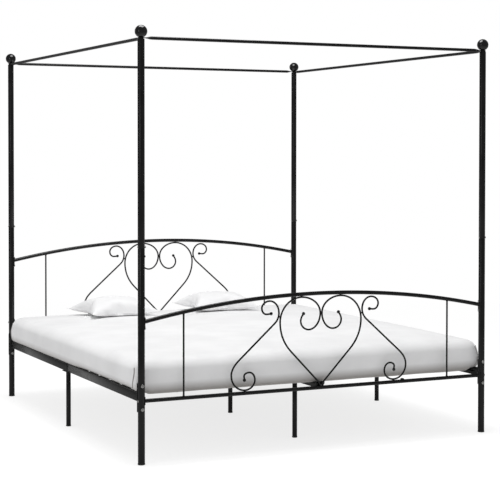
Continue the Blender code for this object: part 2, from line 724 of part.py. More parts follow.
def add_slats():
    length = 2 * (POST_X - RAIL_WIDTH / 2 - 0.001)
    first = -(SLAT_COUNT - 1) / 2
    for index in range(SLAT_COUNT):
        name = f"slat_{index + 1:02d}"
        slat = add_helper(name, outline_solid(name, [slat_outline()], length))
        slat.rotation_euler = (math.pi / 2, 0.0, math.pi / 2)
        slat.location = (0.0, (first + index) * SLAT_PITCH, SLAT_TOP)
        add_part(name, evaluated_mesh(slat, name), SLAT_STEEL)


# ---- bedding


def add_mattress():
    low = (-MATTRESS_WIDTH / 2, -MATTRESS_LENGTH / 2, MATTRESS_BOTTOM)
    high = (MATTRESS_WIDTH / 2, MATTRESS_LENGTH / 2, MATTRESS_TOP)
    mattress = add_part("mattress", box_mesh("mattress", low, high), TICKING)
    rounding = mattress.modifiers.new("rounding", "BEVEL")
    rounding.width = MATTRESS_ROUNDING
    rounding.segments = 3
    smooth(mattress)


def add_pillow(side, x):
    """A flat-bottomed cushion form, blunt at its corners."""
    form = bmesh.new()
    bmesh.ops.create_uvsphere(form, u_segments=20, v_segments=10, radius=1.0)
    half = (PILLOW_WIDTH / 2, PILLOW_DEPTH / 2, PILLOW_HEIGHT / 2)
    y = MATTRESS_LENGTH / 2 - PILLOWS_FROM_HEAD[side]
    middle = (x, y, MATTRESS_TOP + SEAT_GAP + half[2])
    for vertex in form.verts:
        squared = [math.copysign(abs(value) ** 0.55, value) for value in vertex.co]
        vertex.co = [centre + size * value for centre, size, value in zip(middle, half, squared)]
    name = f"pillow_{side}"
    mesh = bpy.data.meshes.new(name)
    form.to_mesh(mesh)
    form.free()
    smooth(add_part(name, mesh, PILLOWCASE), 60.0)


def build_bed():
    drills = {(end, side): post_drills(end, side) for end in ENDS for side in SIDES}
    for end in ENDS:
        for side in SIDES:
            add_post(end, side, drills[end, side])
            add_finial(end, side)
            add_side_rail(end, side, drills)
        add_canopy_rail(end, POST_X, (0.0, ENDS[end] * POST_Y, UPPER_TAB_CENTRE), 0.0)
        add_panel(end, drills)
    for side, sign in SIDES.items():
        add_canopy_rail(side, POST_Y, (sign * POST_X, 0.0, LOWER_TAB_CENTRE), math.pi / 2)
    add_legs()
    add_centre_beam()
    add_slats()
    add_mattress()
    for side, x in PILLOW_CENTRES.items():
        add_pillow(side, x)


build_bed()
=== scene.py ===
import math

import bmesh
import bpy
from mathutils import Matrix, Vector, noise


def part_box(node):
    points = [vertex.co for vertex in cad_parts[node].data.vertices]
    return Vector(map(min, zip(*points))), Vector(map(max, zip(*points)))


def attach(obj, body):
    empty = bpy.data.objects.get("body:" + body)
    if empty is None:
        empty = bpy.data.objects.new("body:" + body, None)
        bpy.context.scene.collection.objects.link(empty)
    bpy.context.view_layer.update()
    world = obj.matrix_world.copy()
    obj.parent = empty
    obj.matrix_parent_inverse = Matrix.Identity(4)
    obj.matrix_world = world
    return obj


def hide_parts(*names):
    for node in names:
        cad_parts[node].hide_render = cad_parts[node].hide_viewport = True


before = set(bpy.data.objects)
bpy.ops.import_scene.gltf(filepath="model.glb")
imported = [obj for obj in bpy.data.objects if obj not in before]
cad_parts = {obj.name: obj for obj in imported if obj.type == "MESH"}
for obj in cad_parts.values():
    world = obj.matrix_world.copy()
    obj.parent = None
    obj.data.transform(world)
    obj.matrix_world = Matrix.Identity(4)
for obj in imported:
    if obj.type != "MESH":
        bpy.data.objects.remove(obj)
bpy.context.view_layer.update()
print("frame loaded:", len(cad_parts), "nodes")

ends = {"foot": -1, "head": 1}
sides = {"left": -1, "right": 1}
up = Vector((0, 0, 1))

# where the posts stand, read off the frame
postLow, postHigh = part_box("post_lower_head_right")
postX = (postLow.x + postHigh.x) / 2
postY = (postLow.y + postHigh.y) / 2
postRadius = (postHigh.x - postLow.x) / 2
upperLow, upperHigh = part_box("post_upper_head_right")
seamHeight = upperLow.z
postTop = upperHigh.z


def nodeMaterial(name):
    material = bpy.data.materials.new(name)
    material.use_nodes = True
    tree = material.node_tree
    shader = tree.nodes["Principled BSDF"]
    return material, tree, shader


def add(tree, kind, **settings):
    node = tree.nodes.new(kind)
    for key, value in settings.items():
        if hasattr(node, key):
            setattr(node, key, value)
        else:
            node.inputs[key].default_value = value
    return node


def noiseOn(tree, scale, detail=3.0, stretch=(1, 1, 1)):
    spot = add(tree, "ShaderNodeTexCoord")
    squeeze = add(tree, "ShaderNodeMapping")
    squeeze.inputs["Scale"].default_value = stretch
    grain = add(tree, "ShaderNodeTexNoise")
    grain.inputs["Scale"].default_value = scale
    grain.inputs["Detail"].default_value = detail
    tree.links.new(spot.outputs["Object"], squeeze.inputs["Vector"])
    tree.links.new(squeeze.outputs["Vector"], grain.inputs["Vector"])
    return grain


def ramp(tree, source, low, high, start=0.35, end=0.65):
    band = add(tree, "ShaderNodeValToRGB")
    band.color_ramp.elements[0].position = start
    band.color_ramp.elements[1].position = end
    band.color_ramp.elements[0].color = (*low, 1)
    band.color_ramp.elements[1].color = (*high, 1)
    tree.links.new(source, band.inputs["Fac"])
    return band


def rangeOf(tree, source, low, high, start=0.3, end=0.7):
    fit = add(tree, "ShaderNodeMapRange")
    fit.inputs["From Min"].default_value = start
    fit.inputs["From Max"].default_value = end
    fit.inputs["To Min"].default_value = low
    fit.inputs["To Max"].default_value = high
    tree.links.new(source, fit.inputs["Value"])
    return fit.outputs["Result"]


def bumpOn(tree, shader, height, strength, distance, below=None):
    bump = add(tree, "ShaderNodeBump")
    bump.inputs["Strength"].default_value = strength
    bump.inputs["Distance"].default_value = distance
    tree.links.new(height, bump.inputs["Height"])
    if below:
        tree.links.new(below.outputs["Normal"], bump.inputs["Normal"])
    tree.links.new(bump.outputs["Normal"], shader.inputs["Normal"])
    return bump


# black powder coat: faint orange peel, cloudy gloss, a little dust in the grain
coatSet = {"dark": (0.0030, 0.0030, 0.0032), "light": (0.0062, 0.0062, 0.0065), "peel": 300, "peelDepth": 0.00003,
           "smooth": 0.19, "rough": 0.29}


def powderCoat(name, look, gloss=0.34):
    material, tree, shader = nodeMaterial(name)
    cloud = noiseOn(tree, 14, 5)
    colour = ramp(tree, cloud.outputs["Fac"], look["dark"], look["light"])
    tree.links.new(colour.outputs["Color"], shader.inputs["Base Color"])
    patch = noiseOn(tree, 38, 4)
    rough = rangeOf(tree, patch.outputs["Fac"], look["smooth"], look["rough"])
    tree.links.new(rough, shader.inputs["Roughness"])
    shader.inputs["Specular IOR Level"].default_value = gloss
    shader.inputs["Coat Weight"].default_value = 0.04
    shader.inputs["Coat Roughness"].default_value = 0.10
    peel = noiseOn(tree, look["peel"], 2)
    bumpOn(tree, shader, peel.outputs["Fac"], 0.22, look["peelDepth"])
    return material


blackCoat = powderCoat("satinBlackCoat", coatSet)
slatCoat = powderCoat("slatCoat", {**coatSet, "light": (0.010, 0.010, 0.0105), "smooth": 0.34, "rough": 0.48})
ballCoat = powderCoat("ballCoat", {**coatSet, "smooth": 0.05, "rough": 0.09}, gloss=0.55)
weldCoat = powderCoat("weldCoat", {**coatSet, "peel": 240, "peelDepth": 0.0006})

# zinc plated screws: pale grey, brushed and slightly blotchy
zincSet = {"dark": (0.36, 0.36, 0.35), "light": (0.56, 0.56, 0.55), "smooth": 0.28, "rough": 0.46}


def zincPlate():
    material, tree, shader = nodeMaterial("zincPlate")
    blotch = noiseOn(tree, 260, 4)
    colour = ramp(tree, blotch.outputs["Fac"], zincSet["dark"], zincSet["light"])
    tree.links.new(colour.outputs["Color"], shader.inputs["Base Color"])
    rough = rangeOf(tree, blotch.outputs["Fac"], zincSet["smooth"], zincSet["rough"])
    tree.links.new(rough, shader.inputs["Roughness"])
    shader.inputs["Metallic"].default_value = 0.85
    scratch = noiseOn(tree, 900, 2, (1, 1, 8))
    bumpOn(tree, shader, scratch.outputs["Fac"], 0.3, 0.0001)
    return material


zinc = zincPlate()

# moulded plastic of the feet: matt, with a fine spark texture
footSet = {"dark": (0.010, 0.010, 0.010), "light": (0.022, 0.022, 0.021), "spark": 1400}


def mouldedPlastic():
    material, tree, shader = nodeMaterial("footPlastic")
    mottle = noiseOn(tree, 60, 3)
    colour = ramp(tree, mottle.outputs["Fac"], footSet["dark"], footSet["light"])
    tree.links.new(colour.outputs["Color"], shader.inputs["Base Color"])
    rough = rangeOf(tree, mottle.outputs["Fac"], 0.5, 0.66)
    tree.links.new(rough, shader.inputs["Roughness"])
    spark = noiseOn(tree, footSet["spark"], 1)
    bumpOn(tree, shader, spark.outputs["Fac"], 0.4, 0.0001)
    return material


footPlastic = mouldedPlastic()

# white cotton: two crossing sets of threads, a broad softness, faint tint changes, and on the sheet painted shade
# darkening the lower edge
sheetSet = {"pale": (0.82, 0.82, 0.825), "deep": (0.76, 0.76, 0.765), "threads": 80, "slant": 45,
            # the "under" colour and the two heights after it are painted shade on the mattress's lower edge
            "under": (0.36, 0.345, 0.33), "underLow": 0.318, "underHigh": 0.362}
caseSet = {"pale": (0.84, 0.84, 0.845), "deep": (0.78, 0.78, 0.785), "threads": 110, "slant": 0}


def threadsOn(tree, count, turn):
    spot = add(tree, "ShaderNodeTexCoord")
    lay = add(tree, "ShaderNodeMapping")
    lay.inputs["Rotation"].default_value = (math.radians(turn), math.radians(turn), math.radians(turn))
    wave = add(tree, "ShaderNodeTexWave", wave_type="BANDS", bands_direction="X", wave_profile="SIN")
    wave.inputs["Scale"].default_value = count
    wave.inputs["Distortion"].default_value = 1.2
    wave.inputs["Detail"].default_value = 1.0
    tree.links.new(spot.outputs["Object"], lay.inputs["Vector"])
    tree.links.new(lay.outputs["Vector"], wave.inputs["Vector"])
    return wave.outputs["Fac"]


def cotton(name, look):
    material, tree, shader = nodeMaterial(name)
    tint = noiseOn(tree, 5, 6)
    colour = ramp(tree, tint.outputs["Fac"], look["deep"], look["pale"]).outputs["Color"]
    if "under" in look:  # painted shade: the lower edge is darker and grey-brown
        # painted shade: below the upper height the colour blends into the grey-brown "under" colour, fully so below
        # the lower height
        spot = add(tree, "ShaderNodeTexCoord")
        parts = add(tree, "ShaderNodeSeparateXYZ")
        tree.links.new(spot.outputs["Object"], parts.inputs[0])
        mix = add(tree, "ShaderNodeMix", data_type="RGBA")
        height = rangeOf(tree, parts.outputs["Z"], 0, 1, look["underLow"], look["underHigh"])
        tree.links.new(height, mix.inputs[0])
        tree.links.new(colour, mix.inputs[7])
        mix.inputs[6].default_value = (*look["under"], 1)
        colour = mix.outputs[2]
    tree.links.new(colour, shader.inputs["Base Color"])
    shader.inputs["Roughness"].default_value = 0.88
    shader.inputs["Specular IOR Level"].default_value = 0.2
    shader.inputs["Sheen Weight"].default_value = 0.25
    shader.inputs["Sheen Roughness"].default_value = 0.45
    weave = add(tree, "ShaderNodeMath", operation="MULTIPLY")
    tree.links.new(threadsOn(tree, look["threads"], look["slant"]), weave.inputs[0])
    tree.links.new(threadsOn(tree, look["threads"], look["slant"] + 90), weave.inputs[1])
    soft = noiseOn(tree, 26, 5)
    under = bumpOn(tree, shader, soft.outputs["Fac"], 0.25, 0.003)
    bumpOn(tree, shader, weave.outputs["Value"], 0.35, 0.0004, under)
    return material


sheetCotton = cotton("sheetCotton", sheetSet)
caseCotton = cotton("pillowCotton", caseSet)
# the seam thread's dark grey is painted shade: it stands for the shadow in the groove along each sheet seam
seamThreadPaintedShade = cotton("seamThreadPaintedShade", {**caseSet, "pale": (0.34, 0.33, 0.32), "deep": (0.22, 0.21, 0.205)})
print("finishes mixed")


def settle(piece, finish, body="frame", standsFor=()):
    # give a piece its finish, hang it on its body and hide the rough solids it stands for
    if piece.name not in bpy.context.scene.collection.objects:
        bpy.context.scene.collection.objects.link(piece)
    piece.data.materials.clear()
    piece.data.materials.append(finish)
    if standsFor:
        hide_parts(*standsFor)
    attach(piece, body)
    return piece


def meshPiece(name, form, sharp=35):
    mesh = bpy.data.meshes.new(name)
    bmesh.ops.recalc_face_normals(form, faces=form.faces)
    form.to_mesh(mesh)
    form.free()
    mesh.shade_smooth()
    mesh.set_sharp_from_angle(angle=math.radians(sharp))
    return bpy.data.objects.new(name, mesh)


def ringAt(spot, turn, height, radiusOf, steps=36):
    ring = []
    for step in range(steps):
        angle = 2 * math.pi * step / steps
        radius = radiusOf(angle)
        ring.append(turn @ Vector((radius * math.cos(angle), radius * math.sin(angle), height)) + Vector(spot))
    return ring


def loft(form, rings):
    # rings are lists of points with the same count; the first and the last are capped
    made = [[form.verts.new(point) for point in ring] for ring in rings]
    for first, second in zip(made, made[1:]):
        for step in range(len(first)):
            after = (step + 1) % len(first)
            form.faces.new((first[step], first[after], second[after], second[step]))
    form.faces.new(made[0])
    form.faces.new(made[-1])


def turned(name, profile, spot, steps=40):
    # profile is (radius, height), turned about an upright axis through the spot
    form = bmesh.new()
    turn = up.to_track_quat("Z", "Y").to_matrix()
    loft(form, [ringAt(spot, turn, height, lambda a, r=radius: r, steps) for radius, height in profile])
    return meshPiece(name, form)


def rod(name, points, radius, scales=None, roundness=5):
    curve = bpy.data.curves.new(name, "CURVE")
    curve.dimensions = "3D"
    curve.bevel_depth = radius
    curve.bevel_resolution = roundness
    curve.use_fill_caps = True
    line = curve.splines.new("POLY")
    line.points.add(len(points) - 1)
    for index, point in enumerate(points):
        line.points[index].co = (*point, 1)
        line.points[index].radius = scales[index] if scales else 1
    return bpy.data.objects.new(name, curve)


def soften(piece, width, segments=2):
    edge = piece.modifiers.new("easedEdges", "BEVEL")
    edge.width = width
    edge.segments = segments
    edge.limit_method = "ANGLE"
    edge.angle_limit = math.radians(40)
    return piece


postSet = {"edge": 0.0010, "steps": 48, "seam": 0.0003}
ballSet = {"collar": 0.0115, "collarHeight": 0.0022, "tabTop": 0.0069, "stud": 0.004, "rings": 32}
footDims = {"wall": 0.0012, "height": 0.007, "lip": 0.0012}


def ease(value, start, end):
    share = max(0.0, min(1.0, (value - start) / (end - start)))
    return share * share * (3 - 2 * share)


def tubeProfile(radius, low, high, edge):
    return [(radius * 0.86, low), (radius - edge, low), (radius - edge * 0.3, low + edge * 0.3), (radius, low + edge),
            (radius, high - edge), (radius - edge * 0.3, high - edge * 0.3), (radius - edge, high),
            (radius * 0.86, high)]


def makePost(end, side):
    x, y = sides[side] * postX, ends[end] * postY
    tag = end.capitalize() + side.capitalize()
    lower = turned("postLower" + tag,
                   tubeProfile(postRadius, footDims["lip"], seamHeight - postSet["seam"], postSet["edge"]),
                   (x, y, 0), steps=postSet["steps"])
    settle(lower, blackCoat, standsFor=[f"post_lower_{end}_{side}"])
    upper = turned("postUpper" + tag, tubeProfile(postRadius, seamHeight, postTop, postSet["edge"]),
                   (x, y, 0), steps=postSet["steps"])
    settle(upper, blackCoat, standsFor=[f"post_upper_{end}_{side}"])
    settle(footCap("postFoot" + tag, (x, y, 0), postRadius), footPlastic)


def footCap(name, spot, radius):
    wall, height = footDims["wall"], footDims["height"]
    outer = radius + wall
    profile = [(radius * 0.6, 0), (outer - 0.003, 0), (outer - 0.0008, 0.0008), (outer, 0.003),
               (outer - 0.0003, height - 0.001), (outer - 0.0008, height), (radius + 0.0001, height),
               (radius + 0.0001, 0.004), (radius * 0.6, 0.004)]
    return turned(name, profile, spot)


def makeFinial(end, side):
    low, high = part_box(f"finial_{end}_{side}")
    middle = (low + high) / 2
    radius = (high.x - low.x) / 2
    centre = high.z - radius
    stud, collar, rise = ballSet["stud"], ballSet["collar"], ballSet["collarHeight"]
    tabTop = postTop + ballSet["tabTop"]
    profile = [(stud, tabTop - stud), (stud, tabTop), (collar, tabTop),
               (collar + 0.0006, tabTop + 0.0006), (collar, tabTop + rise)]
    lowest = math.acos(-(centre - tabTop - rise) / radius)
    for step in range(ballSet["rings"] + 1):
        angle = lowest * (1 - step / ballSet["rings"])
        profile.append((max(radius * math.sin(angle), 0.0002), centre + radius * math.cos(angle)))
    ball = turned(f"ball{end.capitalize()}{side.capitalize()}", profile, (middle.x, middle.y, 0), steps=56)
    settle(ball, ballCoat, standsFor=[f"finial_{end}_{side}"])


boltSet = {"head": 0.0068, "rise": 0.0032, "socket": 0.0024, "depth": 0.0018, "washer": 0.0078}
nutSet = {"flat": 0.0050, "height": 0.0045, "thread": 0.0030}


def hexRadius(angle, flat):
    within = (angle + math.pi / 6) % (math.pi / 3) - math.pi / 6
    return flat / math.cos(within)


def addBoltHead(form, spot, axis, size=1.0):
    # low domed head with a hex socket, on a thin washer
    turn = Vector(axis).to_track_quat("Z", "Y").to_matrix()
    head, rise = boltSet["head"] * size, boltSet["rise"] * size
    washer, socket = boltSet["washer"] * size, boltSet["socket"] * size
    rings = [ringAt(spot, turn, -0.0004, lambda a: washer), ringAt(spot, turn, 0.0006, lambda a: washer),
             ringAt(spot, turn, 0.0009, lambda a: washer - 0.0003), ringAt(spot, turn, 0.0009, lambda a: head)]
    for step in range(1, 7):
        angle = math.pi / 2 * step / 6
        across = socket * 1.25 + (head - socket * 1.25) * math.cos(angle)
        rings.append(ringAt(spot, turn, 0.0009 + rise * math.sin(angle), lambda a, r=across: r))
    rings.append(ringAt(spot, turn, 0.0008 + rise, lambda a: hexRadius(a, socket)))
    rings.append(ringAt(spot, turn, 0.0008 + rise - boltSet["depth"] * size, lambda a: hexRadius(a, socket)))
    loft(form, rings)


def addNut(form, spot, axis):
    # plain hex nut with chamfered corners and the bolt's end standing out of it
    turn = Vector(axis).to_track_quat("Z", "Y").to_matrix()
    flat, height, thread = nutSet["flat"], nutSet["height"], nutSet["thread"]
    steps = ((-0.0003, flat * 0.98, False), (0.0005, flat, True), (height - 0.0006, flat, True),
             (height, flat * 0.98, False), (height, thread, False), (height + 0.0018, thread, False),
             (height + 0.0022, thread * 0.8, False))
    loft(form, [ringAt(spot, turn, level, lambda a, r=radius, cut=isHex: hexRadius(a, r) if cut else r)
                for level, radius, isHex in steps])


canopySet = {"tabLength": 0.018, "taper": 0.034, "sides": 32, "tabHalf": 0.0015}


def makeCanopyRail(place):
    low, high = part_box(f"canopy_rail_{place}")
    size = high - low
    along = 0 if size.x > size.y else 1
    halfLength = size[along] / 2
    width = size[1 - along] / 2
    radius = size.z / 2
    middle = (low + high) / 2
    flat = canopySet["tabHalf"]
    tabEnd = (postX if along == 0 else postY) - canopySet["tabLength"]
    stations = []
    for degrees in (8, 22, 38, 56, 74, 90):
        angle = math.radians(degrees)
        stations.append((halfLength - width * (1 - math.cos(angle)), width * math.sin(angle), flat, 1.0))
    stations.append((tabEnd, width, flat, 1.0))
    for step in range(1, 9):
        share = step / 8
        blend = ease(share, 0, 1)
        stations.append((tabEnd - canopySet["taper"] * share, width + (radius - width) * blend,
                         flat + (radius - flat) * blend, 1 - blend))
    rings = []
    for sign, chain in ((1, stations), (-1, stations[::-1])):
        for reach, halfWidth, halfHeight, flatness in chain:
            rings.append(canopyRing(middle, along, sign * reach, halfWidth, halfHeight, 1 - 0.7 * flatness))
    form = bmesh.new()
    loft(form, rings)
    rail = meshPiece(f"canopyRail{place.capitalize()}", form, 50)
    settle(rail, blackCoat, standsFor=[f"canopy_rail_{place}"])


def canopyRing(middle, along, reach, halfWidth, halfHeight, power):
    ring = []
    for step in range(canopySet["sides"]):
        angle = 2 * math.pi * (step + 0.5) / canopySet["sides"]
        across = halfWidth * math.copysign(abs(math.cos(angle)) ** power, math.cos(angle))
        rise = halfHeight * math.copysign(abs(math.sin(angle)) ** power, math.sin(angle))
        point = [0, 0, rise]
        point[along] = reach
        point[1 - along] = across
        ring.append(middle + Vector(point))
    return ring


plateSet = {"gap": 0.0003, "columns": 28}


def curvedPlate(name, spot, angles, halfHeight, wall, corner):
    inner = postRadius + plateSet["gap"]
    form = bmesh.new()
    columns = plateSet["columns"]
    halfWidth = inner * math.radians(abs(angles[1] - angles[0])) / 2
    made = []
    for column in range(columns + 1):
        share = 2 * column / columns - 1
        share = math.sin(share * math.pi / 2)  # closer columns near the ends, where the corners are
        angle = math.radians((angles[0] + angles[1]) / 2 + (angles[1] - angles[0]) / 2 * share)
        past = max(0.0, abs(share) * halfWidth - (halfWidth - corner))
        reach = halfHeight - corner + math.sqrt(max(corner ** 2 - past ** 2, 0.0))
        line = []
        for level in (-1, -0.5, 0, 0.5, 1):
            line.append(form.verts.new((spot[0] + inner * math.cos(angle), spot[1] + inner * math.sin(angle),
                                        spot[2] + reach * level)))
        made.append(line)
    for first, second in zip(made, made[1:]):
        for level in range(4):
            form.faces.new((first[level], second[level], second[level + 1], first[level + 1]))
    plate = meshPiece(name, form, 50)
    bpy.context.scene.collection.objects.link(plate)
    outward = Vector((math.cos(math.radians(angles[0])), math.sin(math.radians(angles[0])), 0))
    wallUp = plate.modifiers.new("wall", "SOLIDIFY")
    wallUp.thickness = wall
    wallUp.offset = -1 if plate.data.polygons[0].normal.dot(outward) < 0 else 1
    soften(plate, wall * 0.28)
    return plate


panelSet = {"railRadius": 0.009, "archRadius": 0.0095, "rise": 0.093, "barRadius": 0.0044, "wire": 0.0044,
            "wireBall": 0.008, "plateAngle": 46, "plateWall": 0.0025, "archPlate": 0.056, "railPlate": 0.036,
            "screwPitch": 0.043, "plateDrop": 0.008, "plateCorner": 0.006, "seat": 0.0003}


def bendPoints(start, corner, finish, steps=12):
    points = []
    for step in range(1, steps + 1):
        t = step / steps
        points.append(tuple((1 - t) ** 2 * a + 2 * t * (1 - t) * c + t * t * b
                            for a, c, b in zip(start, corner, finish)))
    return points


def curlPoints(start, turns, upright, steps=14):
    # quarter ellipses from one turning point of the wire to the next
    points = []
    for turn in turns:
        for step in range(1, steps + 1):
            angle = math.pi / 2 * step / steps
            slow, quick = 1 - math.cos(angle), math.sin(angle)
            shares = (slow, quick) if upright else (quick, slow)
            points.append(tuple(a + (b - a) * share for a, b, share in zip(start, turn, shares)))
        start, upright = turn, not upright
    return points


def ballEnd(path):
    last, before = Vector(path[-1]), Vector(path[-2])
    heading = (last - before).normalized()
    wire, ball = panelSet["wire"], panelSet["wireBall"]
    neck = math.asin(wire / ball)
    centre = last + heading * ball
    points, scales = [], []
    for step in range(17):
        angle = neck + (math.pi * 0.985 - neck) * step / 16
        points.append(tuple(centre - heading * ball * math.cos(angle)))
        scales.append(ball * math.sin(angle) / wire)
    return points, scales


def heartPoints(base, crown, underArch):
    wire, railTop = panelSet["wire"], base + panelSet["railRadius"]
    rise = math.tan(math.radians(46))
    foot, knee = (wire, railTop + wire * 0.6), (0.012, railTop + 0.0174)
    outer = (0.218, crown - 0.130)
    corner = (outer[0], knee[1] + (outer[0] - knee[0]) * rise)
    bendStart = (0.160, knee[1] + (0.160 - knee[0]) * rise)
    path = [foot, knee, bendStart] + bendPoints(bendStart, corner, outer)
    turns = [(0.105, underArch(0.105) - wire), (wire + 0.0002, crown - 0.094),
             (0.0655, crown - 0.171), (0.109, crown - 0.129)]
    path += curlPoints(outer, turns, upright=True)
    return path + bendPoints(path[-1], (0.109, crown - 0.115), (0.0985, crown - 0.1005), 6)


def scrollPoints(base, crown):
    bottom = base + panelSet["railRadius"] + panelSet["wire"] + 0.0003
    path = [(0.273, crown - 0.0875)]
    path += bendPoints(path[0], (0.280, crown - 0.0885), (0.2885, crown - 0.0885), 6)
    inner = (0.2242, crown - 0.084)
    path += curlPoints(path[-1], [(0.3135, crown - 0.060), (0.273, crown - 0.027), inner], upright=False)
    upperCorner = (inner[0], crown - 0.1141)
    slope = math.tan(math.radians(41.4))
    outer = (0.4705, base + 0.085)
    lowerCorner = (outer[0], upperCorner[1] - (outer[0] - inner[0]) * slope)
    first = (0.2485, upperCorner[1] - (0.2485 - inner[0]) * slope)
    second = (0.431, upperCorner[1] - (0.431 - inner[0]) * slope)
    path += bendPoints(inner, upperCorner, first) + [second] + bendPoints(second, lowerCorner, outer)
    turns = [(0.401, bottom), (0.3493, base + 0.0595), (0.3794, base + 0.0955), (0.405, base + 0.079)]
    path += curlPoints(outer, turns, upright=True)
    return path + [(0.404, base + 0.069)]


def makeWire(name, path, sign, y, bothEnds, standsFor):
    scales = [1.0] * len(path)
    points, more = ballEnd(path)
    path, scales = path + points, scales + more
    if bothEnds:
        points, more = ballEnd(path[1::-1])
        path, scales = points[::-1] + path, more[::-1] + scales
    wire = rod(name, [(sign * x, y, z) for x, z in path], panelSet["wire"], scales)
    settle(wire, blackCoat, standsFor=[standsFor])


def makePanel(end):
    y = ends[end] * postY
    board = f"{end}board"
    tag = board.capitalize()
    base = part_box(f"{board}_bar_left")[0].z - panelSet["railRadius"] - panelSet["seat"]
    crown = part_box(f"{board}_arch")[1].z - panelSet["archRadius"]
    halfSpan = postX - postRadius - plateSet["gap"] - panelSet["plateWall"] / 2
    bend = (halfSpan ** 2 + panelSet["rise"] ** 2) / (2 * panelSet["rise"])

    def archHeight(x):
        return crown - bend + math.sqrt(bend ** 2 - x ** 2)

    def underArch(x):
        return archHeight(x) - panelSet["archRadius"] * bend / math.sqrt(bend ** 2 - x ** 2) - panelSet["seat"]

    reach = postX - postRadius - 0.0008
    places = [reach * (2 * step / 64 - 1) for step in range(65)]
    arch = rod(f"arch{tag}", [(x, y, archHeight(x)) for x in places], panelSet["archRadius"], roundness=8)
    settle(arch, blackCoat, standsFor=[f"{board}_arch"])
    rail = rod(f"baseRail{tag}", [(-reach, y, base), (reach, y, base)], panelSet["railRadius"], roundness=8)
    settle(rail, blackCoat, standsFor=[f"{board}_base_rail"])
    plateHeight = archHeight(halfSpan) - panelSet["plateDrop"]
    for side, sign in sides.items():
        facing = 180 if sign > 0 else 0
        angles = (facing - panelSet["plateAngle"], facing + panelSet["plateAngle"])
        name = side.capitalize() + tag
        for kind, z in (("archPlate", plateHeight), ("railPlate", base)):
            plate = curvedPlate(kind + name, (sign * postX, y, z), angles, panelSet[kind] / 2,
                                panelSet["plateWall"], panelSet["plateCorner"])
            settle(plate, blackCoat)
        low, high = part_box(f"{board}_bar_{side}")
        middle = (low.x + high.x) / 2
        points = [(middle, y, low.z - 0.002), (middle, y, high.z + 0.002)]
        settle(rod(f"bar{name}", points, panelSet["barRadius"]), blackCoat, standsFor=[f"{board}_bar_{side}"])
        makeWire(f"heart{name}", heartPoints(base, crown, underArch), sign, y, False, f"{board}_heart_{side}")
        makeWire(f"scroll{name}", scrollPoints(base, crown), sign, y, True, f"{board}_scroll_{side}")
    weldPanel(tag, y, base, crown, underArch)
    screwPanel(tag, y, base, plateHeight)


# small lumpy beads where the wires are welded to the rails and to each other
weldSet = {"size": 0.0042, "flat": 0.55}


def addBead(form, spot, axis, size=1.0):
    radius = weldSet["size"] * size
    turn = Vector(axis).to_track_quat("Z", "Y").to_matrix()
    start = len(form.verts)
    bmesh.ops.create_icosphere(form, subdivisions=3, radius=1)
    form.verts.ensure_lookup_table()
    for vertex in list(form.verts)[start:]:
        lump = 1 + 0.22 * noise.noise(vertex.co * 2.3 + Vector(spot) * 90)
        shape = Vector((vertex.co.x * radius, vertex.co.y * radius, vertex.co.z * radius * weldSet["flat"])) * lump
        vertex.co = turn @ shape + Vector(spot)


def weldPanel(tag, y, base, crown, underArch):
    form = bmesh.new()
    railTop = base + panelSet["railRadius"]
    addBead(form, (0, y, railTop + 0.001), up, 1.5)
    for sign in sides.values():
        addBead(form, (sign * 0.105, y, underArch(0.105)), up, 1.1)
        addBead(form, (sign * 0.401, y, railTop), up, 1.2)
        addBead(form, (sign * 0.2203, y, crown - 0.104), Vector((1, 0, 0)), 1.05)
        x = postX - 0.206
        addBead(form, (sign * x, y, railTop), up, 1.35)
        addBead(form, (sign * x, y, underArch(x)), up, 1.35)
    addBead(form, (0, y, crown - 0.094), Vector((1, 0, 0)), 1.0)
    if y < 0:
        addBead(form, (0.452, y + 0.001, railTop + 0.001), up, 2.3)  # spare lump of weld on the foot rail
    settle(meshPiece(f"weldBeads{tag}", form, 80), weldCoat)


def screwPanel(tag, y, base, plateHeight):
    form = bmesh.new()
    skin = postRadius + plateSet["gap"] + panelSet["plateWall"]
    for sign in sides.values():
        inward = Vector((-sign, 0, 0))
        for step in (-0.5, 0.5):
            spot = Vector((sign * postX, y, plateHeight + panelSet["screwPitch"] * step)) + inward * skin
            addBoltHead(form, spot, inward, 0.62)
        addBoltHead(form, Vector((sign * postX, y, base)) - inward * postRadius, -inward, 0.85)
    settle(meshPiece(f"screws{tag}", form, 40), zinc)


railSet = {"wall": 0.004, "outer": 78, "inner": 38, "bracket": 0.134, "boltPitch": 0.106, "ledge": 0.020,
           "ledgeWall": 0.003, "ledgeStart": 0.050, "width": 0.020, "height": 0.040, "round": 0.0022, "corner": 0.012}


def addBar(form, low, high, edge, alongX=False):
    # rectangular bar with rounded long edges, along Y unless told otherwise
    if alongX:
        low, high = (low[1], low[0], low[2]), (high[1], high[0], high[2])
    half = Vector(((high[0] - low[0]) / 2, 0, (high[2] - low[2]) / 2))
    middle = Vector(((high[0] + low[0]) / 2, 0, (high[2] + low[2]) / 2))
    outline = []
    for sx, sz in ((1, 1), (-1, 1), (-1, -1), (1, -1)):
        for step in range(5):
            angle = math.atan2(sz, sx) - math.pi / 4 + math.pi / 2 * step / 4
            outline.append((middle.x + sx * (half.x - edge) + edge * math.cos(angle),
                            middle.z + sz * (half.z - edge) + edge * math.sin(angle)))
    inset = edge * 0.35
    rings = []
    for y, shrink in ((low[1], inset), (low[1] + inset, 0), (high[1] - inset, 0), (high[1], inset)):
        ring = []
        for x, z in outline:
            scale = 1 - shrink / max(half.x, half.z)
            point = (middle.x + (x - middle.x) * scale, y, middle.z + (z - middle.z) * scale)
            ring.append((point[1], point[0], point[2]) if alongX else point)
        rings.append(ring)
    loft(form, rings)


